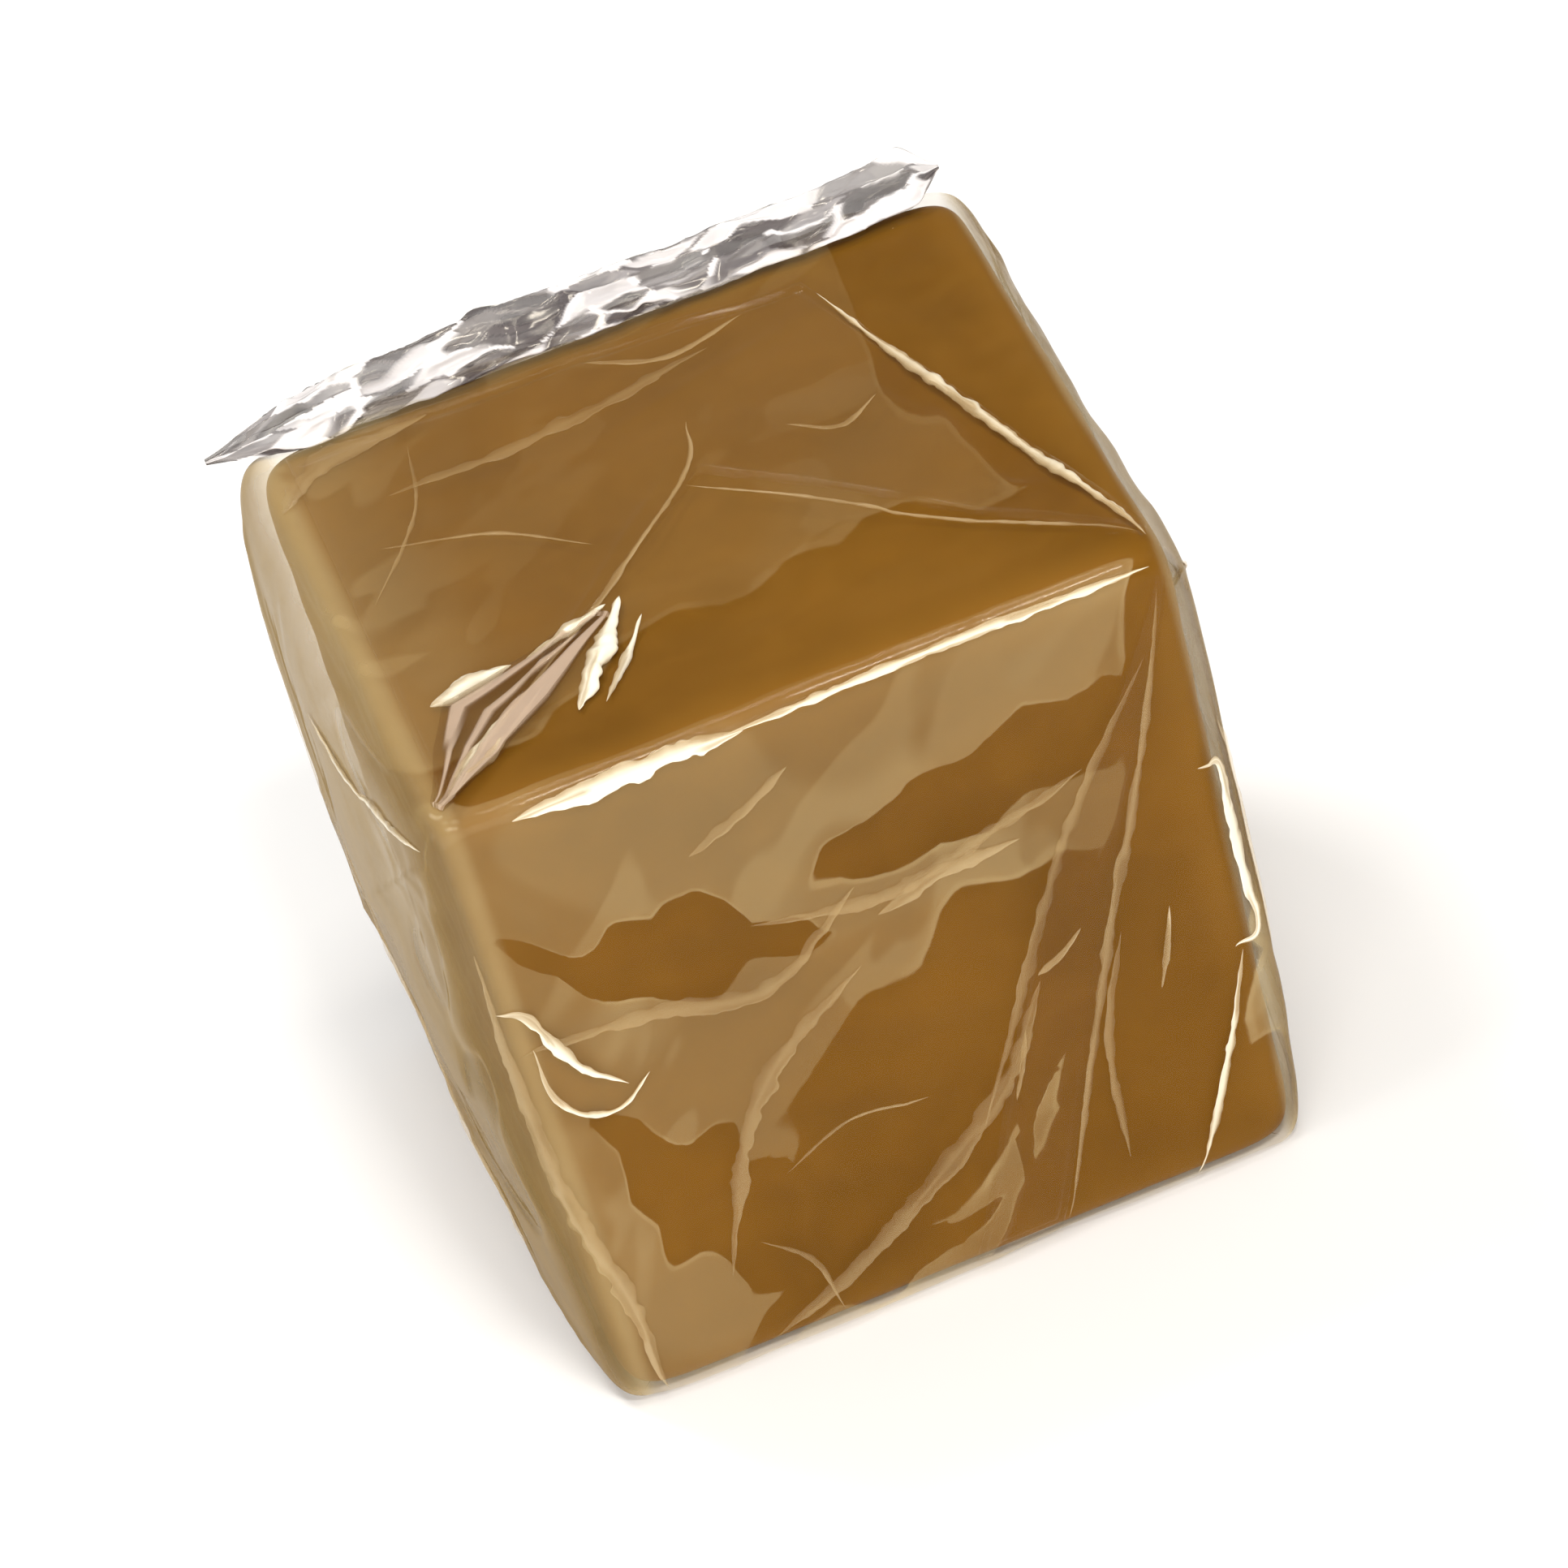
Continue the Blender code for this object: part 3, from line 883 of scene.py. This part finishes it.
def wrinkle(face, corners, width, height):
    """(points, quads, strength) of a raised wrinkle: a flat oval tube along a smooth line on a face.

    It thins to both ends and its borders are ragged. width and height are half sizes in metres. The
    strength, from 0 to 1, of its painted glint is least along one border, as a fold lit on one side,
    and has long streaks of stretched noise.
    """
    reach = np.linalg.norm(np.diff(corners, axis=0), axis=1).sum() * film_half()[0]
    rows = int(np.clip(reach / WRINKLE_STEP, WRINKLE_ROWS_LEAST, WRINKLE_ROWS_MOST))
    share = np.linspace(0.0, 1.0, rows)
    cube = face_points(face, smooth_line(corners, share))
    centre = film_surface(cube, 0.03 * MM)
    tangent = np.gradient(centre, axis=0)
    run = np.cumsum(np.linalg.norm(tangent, axis=1))
    outward = film_normal(rounded_cube(cube, bpy.context.scene.caramel_film.squareness))
    side = np.cross(tangent, outward)
    side /= np.linalg.norm(side, axis=1, keepdims=True)
    taper = np.maximum(np.sin(np.pi * share) ** 0.7, 0.04) * (1 + 0.3 * soft_noise(centre, 0.9 * MM, 81))
    turn = np.linspace(0, 2 * np.pi, WRINKLE_AROUND, endpoint=False)
    across = np.cos(turn)[None, :, None] * side[:, None] * width
    up = np.sin(turn)[None, :, None] * outward[:, None] * height
    plain = centre[:, None] + across
    ragged = 1 + 0.40 * soft_noise(plain, 0.42 * MM, 82) + 0.22 * soft_noise(plain, 0.19 * MM, 84)
    points, quads = loop_tube(centre[:, None] + (across + up) * (taper[:, None] * ragged)[..., None])
    flat = [run[:, None] / (1.4 * MM), np.cos(turn)[None] * width / (0.13 * MM), 0.0 * run[:, None]]
    streaks = soft_noise(np.stack(np.broadcast_arrays(*flat), axis=-1), 1.0, 83)
    strength = (0.35 + 0.65 * smooth_step(np.cos(turn), -1.0, 0.3))[None] * np.ones((rows, 1))
    strength = strength * (1 - 0.45 * smooth_step(streaks, 0.05, 0.45))
    return points, turned_out(points, quads), strength.ravel()


def joined(parts):
    """(points, quads, shares) of several meshes as one."""
    points, quads, shares = zip(*parts)
    offsets = np.cumsum([0] + [len(one) for one in points[:-1]])
    quads = [one + offset for one, offset in zip(quads, offsets)]
    return np.concatenate(points), np.concatenate(quads), np.concatenate(shares)


# The bright wrinkles of each face, their glints painted on: half width and half height in
# millimetres, how strongly its painted glint shows white, and its line on the face's chart.
WRINKLES = {
    FRONT: (
        (0.26, 0.03, 0.16, ((-0.62, -0.66), (-0.48, -0.28), (-0.34, -0.08), (-0.06, 0.12))),
        (0.30, 0.03, 0.15, ((-0.56, -0.92), (-0.20, -0.74), (0.20, -0.44), (0.38, -0.15))),
        (0.22, 0.03, 0.16, ((-0.96, 0.26), (-0.60, 0.22), (-0.30, 0.16), (-0.02, 0.36))),
        (0.14, 0.03, 0.20, ((0.92, 0.88), (0.74, 0.30), (0.55, -0.20), (0.30, -0.93))),
        (0.16, 0.03, 0.14, ((0.84, 0.70), (0.56, 0.30), (0.36, -0.10), (0.14, -0.52))),
        (0.20, 0.03, 0.16, ((-0.30, 0.36), (0.05, 0.30), (0.34, 0.36), (0.62, 0.44))),
        (0.12, 0.03, 0.16, ((0.62, -0.10), (0.52, -0.42), (0.50, -0.80))),
        (0.14, 0.05, 1.0, ((-0.985, 0.42), (-0.92, 0.36), (-0.83, 0.16), (-0.72, 0.04))),
        (0.10, 0.05, 0.9, ((-0.93, 0.26), (-0.92, 0.10), (-0.85, 0.00), (-0.75, -0.02), (-0.66, 0.05))),
        (0.19, 0.05, 1.0, ((0.92, 0.30), (0.99, 0.29), (0.995, 0.10), (0.99, -0.24), (0.91, -0.28))),
        (0.12, 0.04, 0.75, ((0.93, -0.30), (0.82, -0.62), (0.68, -0.95))),
        (0.24, 0.05, 0.3, ((-0.99, 0.62), (-0.985, 0.15), (-0.96, -0.35), (-0.9, -0.66), (-0.89, -0.96))),
        (0.29, 0.05, 1.0, ((-0.80, 0.955), (-0.45, 0.96), (-0.18, 0.955))),
        (0.15, 0.04, 0.85, ((-0.25, 0.96), (0.35, 0.97), (0.93, 0.96))),
        (0.11, 0.03, 0.45, ((0.38, -0.13), (0.45, -0.10), (0.52, -0.04))),
        (0.08, 0.03, 0.45, ((0.69, -0.32), (0.73, -0.20), (0.76, -0.08))),
        (0.08, 0.03, 0.40, ((0.24, -0.48), (0.28, -0.38), (0.31, -0.28))),
        (0.22, 0.03, 0.26, ((0.02, 0.25), (0.20, 0.30), (0.42, 0.31))),
        (0.20, 0.03, 0.20, ((-0.40, 0.64), (-0.26, 0.70), (-0.10, 0.80))),
        (0.06, 0.02, 0.22, ((-0.40, -0.42), (-0.20, -0.34), (0.02, -0.36))),
        (0.07, 0.02, 0.20, ((-0.52, -0.60), (-0.40, -0.72), (-0.36, -0.90))),
    ),
    TOP: (
        (0.22, 0.24, 1.0, ((-0.85, -0.47), (-0.74, -0.44), (-0.62, -0.42))),
        (0.17, 0.16, 1.0, ((-0.58, -0.42), (-0.46, -0.38), (-0.34, -0.32))),
        (0.29, 0.16, 1.0, ((-0.52, -0.71), (-0.42, -0.54), (-0.30, -0.31))),
        (0.10, 0.10, 0.9, ((-0.45, -0.72), (-0.36, -0.57), (-0.27, -0.42))),
        (0.08, 0.14, 0.45, ((-0.92, -0.88), (-0.73, -0.73), (-0.57, -0.56))),
        (0.13, 0.16, 0.75, ((-0.94, -0.90), (-0.83, -0.76), (-0.66, -0.60))),
        (0.16, 0.08, 0.70, ((0.95, -0.92), (0.74, -0.20), (0.52, 0.66))),
        (0.07, 0.04, 0.25, ((0.93, -0.90), (0.45, -0.45), (-0.02, 0.03))),
        (0.08, 0.04, 0.28, ((-0.93, -0.88), (-0.45, -0.40), (-0.02, 0.06), (0.06, 0.30))),
        (0.26, 0.03, 0.13, ((-0.70, 0.52), (-0.20, 0.50), (0.20, 0.60))),
        (0.12, 0.03, 0.24, ((-0.10, 0.74), (0.10, 0.62), (0.32, 0.70))),
        (0.07, 0.03, 0.20, ((-0.78, 0.30), (-0.50, 0.16), (-0.30, -0.06))),
        (0.08, 0.03, 0.26, ((0.28, 0.12), (0.40, 0.02), (0.52, 0.10))),
        (0.06, 0.03, 0.18, ((-0.60, 0.70), (-0.66, 0.40), (-0.86, 0.05))),
        (0.42, 0.03, 0.16, ((-0.97, 0.62), (-0.84, 0.76), (-0.52, 0.80))),
    ),
    LEFT: (
        (0.16, 0.06, 0.8, ((0.10, 0.74), (-0.45, 0.80), (-0.93, 0.92))),
        (0.12, 0.06, 0.35, ((0.85, 0.80), (0.30, 0.30), (-0.20, -0.55))),
        (0.10, 0.06, 0.35, ((-0.60, -0.90), (-0.20, -0.30), (0.30, -0.10))),
    ),
    RIGHT: (
        (0.28, 0.04, 0.35, ((-0.97, 0.42), (-0.93, 0.05), (-0.96, -0.35))),
        (0.12, 0.06, 0.5, ((-0.95, 0.90), (-0.40, 0.45), (0.05, 0.40))),
        (0.12, 0.06, 0.5, ((0.95, 0.92), (0.50, 0.50), (0.02, 0.42))),
    ),
    BACK: (
        (0.12, 0.06, 0.35, ((-0.94, 0.80), (-0.50, 0.20), (-0.30, -0.80))),
        (0.12, 0.06, 0.35, ((0.94, 0.80), (0.55, 0.30), (0.10, 0.10), (-0.30, 0.30))),
    ),
    FOOT: (
        (0.12, 0.04, 0.5, ((-0.95, -0.94), (-0.40, -0.35), (0.0, 0.02))),
        (0.12, 0.04, 0.5, ((0.94, -0.94), (0.40, -0.38), (0.0, -0.02))),
        (0.10, 0.04, 0.4, ((-0.95, 0.94), (-0.45, 0.40), (0.40, 0.42), (0.94, 0.94))),
    ),
}


TUCK_ROWS, TUCK_COLUMNS = 110, 60
# How far the folds lie above the film, the thickness of their film, and the bead at their borders.
TUCK_LIFT, FLAP_LIFT, LAP_LIFT = 0.08 * MM, 0.12 * MM, 0.10 * MM
FILM_WALL = 0.03 * MM
TUCK_BEAD, FLAP_BEAD, LAP_BEAD = 0.07 * MM, 0.13 * MM, 0.09 * MM


def tuck_form():
    """(points, quads, pale) of the small folded tuck on the top by the front left corner.

    Streaks of stretched noise fan out of the corner. They crumple the sheet and paint pale streaks of
    reflected light on it.
    """
    kept = {}

    def crumple(chart, along, across):
        spread = np.stack(np.broadcast_arrays(1.6 * along, 8.5 * across, 0.0 * along * across), axis=-1)
        kept["streaks"] = soft_noise(spread, 1.0, 58)
        body = np.sin(np.pi * across) ** 0.6 * np.sin(np.pi * along) ** 0.5
        return body * MM * (0.08 + 0.06 * kept["streaks"])

    lower = [(-0.95, -0.93), (-0.75, -0.78), (-0.57, -0.63), (-0.34, -0.37)]
    upper = [(-0.965, -0.90), (-0.89, -0.66), (-0.82, -0.49), (-0.57, -0.42), (-0.37, -0.34)]
    grid = (TUCK_ROWS, TUCK_COLUMNS)
    points, quads = ruled_sheet(TOP, lower, upper, *grid, TUCK_LIFT, FILM_WALL, TUCK_BEAD, crumple)
    pale = smooth_step(kept["streaks"], 0.22, 0.46).ravel() * 0.8
    return points, quads, np.concatenate([pale, pale[~border_of(TUCK_ROWS, TUCK_COLUMNS)]])


class CARAMEL_OT_block(bpy.types.Operator):
    """Adds the soft cut block of caramel"""

    bl_idname = "caramel.block"
    bl_label = "Add Caramel Block"

    def execute(self, context):
        cube, quads = cube_grid(110)
        finish = caramel_finish(context.scene.caramel_block)
        made = build_mesh("caramel_block", block_surface(cube), quads, finish)
        # Painted light: the "thin" share marks the edges that the finish paints paler, as if lit through.
        shares = np.abs(rounded_cube(cube, 9.0))
        second = np.sort(shares, axis=1)[:, 1]
        store_share(made, "thin", smooth_step(second, 0.80, 1.0))
        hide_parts("caramel")
        return {"FINISHED"}


class CARAMEL_OT_skin(bpy.types.Operator):
    """Adds the film's body, drawn tight round the block"""

    bl_idname = "caramel.skin"
    bl_label = "Add Film Skin"

    def execute(self, context):
        film = context.scene.caramel_film
        cube, quads = cube_grid(126)
        finish = film_finish(
            "film_single_painted_veil", film, gloss=film.gloss, haze=0.004, veil=0.18, roughness=0.03, slanted=0.32
        )
        made = build_mesh("film_skin", film_surface(cube), quads, finish)
        shares = rounded_cube(cube, film.squareness)
        x, y, z = shares.T
        # Painted reflection: the film standing off the left side and the film on the right side get a
        # warm brown veil, and the top's veil is fainter, less so towards its left and back left edges.
        standing = smooth_step(-x, 0.90, 0.99)
        right = on_face(x)
        high = smooth_step(z, -0.5, 0.9)
        rim = np.maximum(-x, y - 0.25 * (x + 1))
        tight = 0.65 - 0.85 * smooth_step(rim, 0.55, 0.95)
        store_share(made, "air", air_under(shares))
        store_share(made, "painted_veil_strength", 1 - tight * on_face(z))
        store_share(made, "pale", 1 - standing * (1 - 0.10 * high) - right)
        store_share(made, "bunched_painted_sheen", standing * (4.3 + 0.3 * (1 - high)) + right * 3.8)
        store_share(made, "loose", 0.85 * np.maximum(standing, right))
        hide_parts("film_sleeve", "film_top_fold", "film_bottom_fold")
        return {"FINISHED"}


class CARAMEL_OT_flaps(bpy.types.Operator):
    """Adds the layers of film that are folded over the top and the front"""

    bl_idname = "caramel.flaps"
    bl_label = "Add Film Flaps"

    def execute(self, context):
        film = context.scene.caramel_film
        finish = film_finish(
            "film_folded", film, gloss=0.7, haze=0.012, veil=0.0, roughness=0.04, slanted=0.5
        )
        lower = [(0.95, -0.93), (0.02, 0.05), (-0.93, -0.90)]
        upper = [(0.955, -0.915), (0.50, 0.72), (-0.90, 0.86)]
        flap = ruled_sheet(TOP, lower, upper, 120, 120, FLAP_LIFT, FILM_WALL, FLAP_BEAD)
        lower = [(0.93, 0.93), (0.40, 0.02), (0.02, -0.93)]
        upper = [(0.955, 0.92), (0.62, 0.02), (0.28, -0.93)]
        lap = ruled_sheet(FRONT, lower, upper, 140, 40, LAP_LIFT, FILM_WALL, LAP_BEAD)
        for name, (points, quads) in {"film_top_flap": flap, "film_front_lap": lap}.items():
            made = build_mesh(name, points, quads, finish)
            # Painted reflection: the flaps' faint milky haze lies a fifth of the way from the warm to the
            # pale veil colour.
            store_share(made, "pale", np.full(len(points), 0.20))
        return {"FINISHED"}


class CARAMEL_OT_pleat(bpy.types.Operator):
    """Adds the crumpled pleat of film along the top back edge"""

    bl_idname = "caramel.pleat"
    bl_label = "Add Film Pleat"

    def execute(self, context):
        film = context.scene.caramel_film
        # Painted reflection: the pleat's facets are painted dark, grey and white, standing in for dark
        # and bright surroundings mirrored in its crumpled layers.
        looks = {"gloss": 2.9, "haze": 0.05, "veil": 0.78, "roughness": 0.11}
        looks |= {"shade": (0.060, 0.046, 0.050), "pale": (0.95, 0.91, 0.91)}
        finish = film_finish("film_pleat_painted_tones", film, **looks)
        rings, *cells = pleat_form()
        pale, bunched_painted_sheen = crumpled_painted_reflection(*cells)
        points, quads = loop_tube(rings)
        made = build_mesh("film_pleat", points, turned_out(points, quads), finish)
        store_share(made, "pale", pale)
        store_share(made, "bunched_painted_sheen", bunched_painted_sheen)
        points, quads, pale = tuck_form()
        # Painted reflection and shade: the tuck's film gets a faint dark brown painted shade and pale
        # painted streaks that stand in for light mirrored in its crumples.
        looks = {"gloss": 0.5, "haze": 0.02, "veil": 0.80, "roughness": 0.10, "slanted": 0.25}
        looks |= {"shade": (0.095, 0.046, 0.026), "pale": (0.85, 0.66, 0.50)}
        finish = film_finish("film_tuck_painted_streaks", film, **looks)
        made = build_mesh("film_tuck", points, quads, finish)
        store_share(made, "pale", pale)
        store_share(made, "bunched_painted_sheen", 0.08 + 0.5 * pale)
        return {"FINISHED"}


class CARAMEL_OT_wrinkles(bpy.types.Operator):
    """Adds the sharp wrinkles, with glints painted cream-white on the film"""

    bl_idname = "caramel.wrinkles"
    bl_label = "Add Film Wrinkles"

    def execute(self, context):
        film = context.scene.caramel_film
        # Painted highlight: the wrinkles' cream-white milky colour stands in for the glints of light that
        # their folds mirror.
        looks = {"gloss": 1.2, "haze": 0.0, "veil": 0.97, "roughness": 0.12, "slanted": 0.4}
        looks |= {"shade": (0.72, 0.53, 0.27), "pale": (0.97, 0.90, 0.72)}
        finish = film_finish("film_wrinkle_painted_glints", film, **looks)
        parts = []
        for face, rows in WRINKLES.items():
            for width, height, white, line in rows:
                points, quads, strength = wrinkle(face, line, width * MM, height * MM)
                parts.append((points, quads, strength * white))
        points, quads, strength = joined(parts)
        made = build_mesh("film_wrinkles", points, quads, finish)
        store_share(made, "bunched_painted_sheen", strength)
        store_share(made, "pale", smooth_step(strength, 0.1, 0.9))
        return {"FINISHED"}


class CARAMEL_OT_stage(bpy.types.Operator):
    """Adds the floor, the soft lights and the camera"""

    bl_idname = "caramel.stage"
    bl_label = "Add Stage"

    def execute(self, context):
        stage = context.scene.caramel_stage
        add_floor(stage)
        add_lights()
        add_camera(stage)
        scene = context.scene
        scene.view_settings.view_transform = "Standard"
        scene.view_settings.look = "None"
        scene.cycles.transparent_max_bounces = 16
        scene.cycles.caustics_reflective = False
        scene.cycles.caustics_refractive = False
        return {"FINISHED"}


def add_floor(stage):
    """A flat square floor that reaches out of sight."""
    reach = 1.5
    corners = [(-reach, -reach, 0.0), (reach, -reach, 0.0), (reach, reach, 0.0), (-reach, reach, 0.0)]
    mesh = bpy.data.meshes.new("floor")
    mesh.from_pydata(corners, [], [(0, 1, 2, 3)])
    mesh.materials.append(floor_finish(stage.floor_colour))
    floor = bpy.data.objects.new("floor", mesh)
    bpy.context.scene.collection.objects.link(floor)


# Each soft light: name, azimuth and elevation in degrees as seen from the sweet (azimuth 0 is in front
# of it, and grows to the right), distance in metres, sides in metres, watts and colour.
LIGHTS = (
    ("overhead", 20.0, 80.0, 0.45, (0.14, 0.10), 0.50, (1.0, 0.96, 0.90)),
    ("front_key", 12.0, 56.0, 0.40, (0.07, 0.05), 0.60, (1.0, 0.97, 0.93)),
    ("front_fill", -10.0, 24.0, 0.60, (0.50, 0.30), 1.95, (1.0, 0.96, 0.90)),
    ("left_fill", -80.0, 30.0, 0.40, (0.12, 0.16), 0.26, (0.98, 0.98, 0.98)),
    ("right_strip", 85.0, 25.0, 0.40, (0.03, 0.20), 0.22, (1.0, 0.95, 0.86)),
    ("back_key", -150.0, 60.0, 0.45, (0.10, 0.10), 0.70, (1.0, 0.97, 0.93)),
)
WORLD_COLOUR, WORLD_STRENGTH = (0.80, 0.83, 0.88), 0.35


def way_to(azimuth, elevation):
    """The direction at that azimuth and elevation, in degrees, as seen from the sweet."""
    turn, up = math.radians(azimuth), math.radians(elevation)
    return Vector((math.sin(turn) * math.cos(up), -math.cos(turn) * math.cos(up), math.sin(up)))


def add_lights():
    """Area lights aimed at the sweet, and a faint world so that no shadow is black."""
    target = Vector((0.0, 0.0, float(CAD_BOX[1][2]) / 2))
    for name, azimuth, elevation, distance, sides, watts, colour in LIGHTS:
        data = bpy.data.lights.new(name, "AREA")
        data.shape = "RECTANGLE"
        data.size, data.size_y = sides
        data.energy = watts
        data.color = colour
        light = bpy.data.objects.new(name, data)
        way = way_to(azimuth, elevation)
        light.location = target + way * distance
        light.rotation_euler = way.to_track_quat("Z", "Y").to_euler()
        bpy.context.scene.collection.objects.link(light)
    world = bpy.data.worlds.new("studio")
    world.use_nodes = True
    background = world.node_tree.nodes["Background"]
    background.inputs["Color"].default_value = (*WORLD_COLOUR, 1.0)
    background.inputs["Strength"].default_value = WORLD_STRENGTH
    bpy.context.scene.world = world


def add_camera(stage):
    """The camera at the photograph's angle, turned as the sweet lies there and aimed near its middle."""
    target = Vector((0.0, 0.0, float(CAD_BOX[1][2]) * 0.47))
    back = way_to(stage.azimuth, stage.elevation)
    data = bpy.data.cameras.new("camera")
    data.lens = stage.lens
    data.clip_start = 0.01
    data.clip_end = 20.0
    camera = bpy.data.objects.new("camera", data)
    aim = back.to_track_quat("Z", "Y").to_matrix().to_4x4()
    roll = Matrix.Rotation(math.radians(-stage.roll), 4, "Z")
    camera.matrix_world = Matrix.Translation(target + back * stage.distance) @ aim @ roll
    bpy.context.scene.collection.objects.link(camera)
    bpy.context.scene.camera = camera


class CARAMEL_PT_panel(bpy.types.Panel):
    """Lists what the add-on adds, with its sizes and colours"""

    bl_idname = "CARAMEL_PT_panel"
    bl_label = "Wrapped Milk Caramel"
    bl_space_type = "VIEW_3D"
    bl_region_type = "UI"
    bl_category = "Caramel"

    def draw(self, context):
        for operator in OPERATORS:
            self.layout.operator(operator.bl_idname)
        for name in SETTINGS:
            group = getattr(context.scene, name)
            for key in group.__annotations__:
                self.layout.prop(group, key)


SETTINGS = {
    "caramel_block": BlockSettings,
    "caramel_film": FilmSettings,
    "caramel_stage": StageSettings,
}
OPERATORS = (
    CARAMEL_OT_block,
    CARAMEL_OT_skin,
    CARAMEL_OT_flaps,
    CARAMEL_OT_pleat,
    CARAMEL_OT_wrinkles,
    CARAMEL_OT_stage,
)


def register():
    for part in (*SETTINGS.values(), *OPERATORS, CARAMEL_PT_panel):
        bpy.utils.register_class(part)
    for name, group in SETTINGS.items():
        setattr(bpy.types.Scene, name, bpy.props.PointerProperty(type=group))


def unregister():
    for name in SETTINGS:
        delattr(bpy.types.Scene, name)
    for part in reversed((*SETTINGS.values(), *OPERATORS, CARAMEL_PT_panel)):
        bpy.utils.unregister_class(part)


def main():
    register()
    bpy.ops.caramel.block()
    bpy.ops.caramel.skin()
    bpy.ops.caramel.flaps()
    bpy.ops.caramel.pleat()
    bpy.ops.caramel.wrinkles()
    bpy.ops.caramel.stage()


if __name__ == "__main__":
    main()
